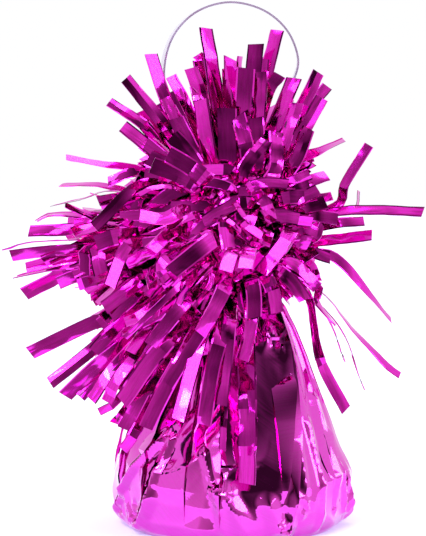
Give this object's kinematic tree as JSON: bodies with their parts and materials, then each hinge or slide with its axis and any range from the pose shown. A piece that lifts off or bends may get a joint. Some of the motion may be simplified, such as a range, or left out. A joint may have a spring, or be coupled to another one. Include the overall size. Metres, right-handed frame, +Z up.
{
  "type": "balloon weight",
  "caption": "Foil balloon weight: a ballast cup in a gathered metallic wrap, cut-foil fringe bursting from the neck, and a clear strap loop for tying ribbons.",
  "frame": {"origin": "on the floor under the middle of the ballast cup", "axes": "+Z up along the neck; the strap loop lies in the XZ plane; the pictured side faces -Y"},
  "size_m": [0.1158, 0.0907, 0.1458],
  "materials": {
    "foil": "polished",
    "clear_strap": "gloss",
    "cup_plastic": "satin",
    "cast_fill": "matte",
    "band_rubber": "satin"
  },
  "bodies": {
    "weight": {"ballast_cup": "cup_plastic", "ballast_fill": "cast_fill", "ballast_lid": "cup_plastic", "foil_wrap": "foil", "neck_band": "band_rubber", "skirt_fringe_lower": "foil", "skirt_fringe_upper": "foil", "collar_fringe_lower": "foil", "collar_fringe_upper": "foil", "crown_fringe_outer": "foil", "crown_fringe_inner": "foil", "strap_tail": "clear_strap"},
    "loop": {"hanger_loop": "clear_strap"}
  },
  "joints": [
    {"name": "loop_sway", "type": "hinge", "parent": "weight", "child": "loop", "pos_m": [0, 0, 0.09505], "axis": [0, 1, 0], "range_deg": [-30, 30], "stiffness_Nm_per_rad": 0.002}
  ]
}
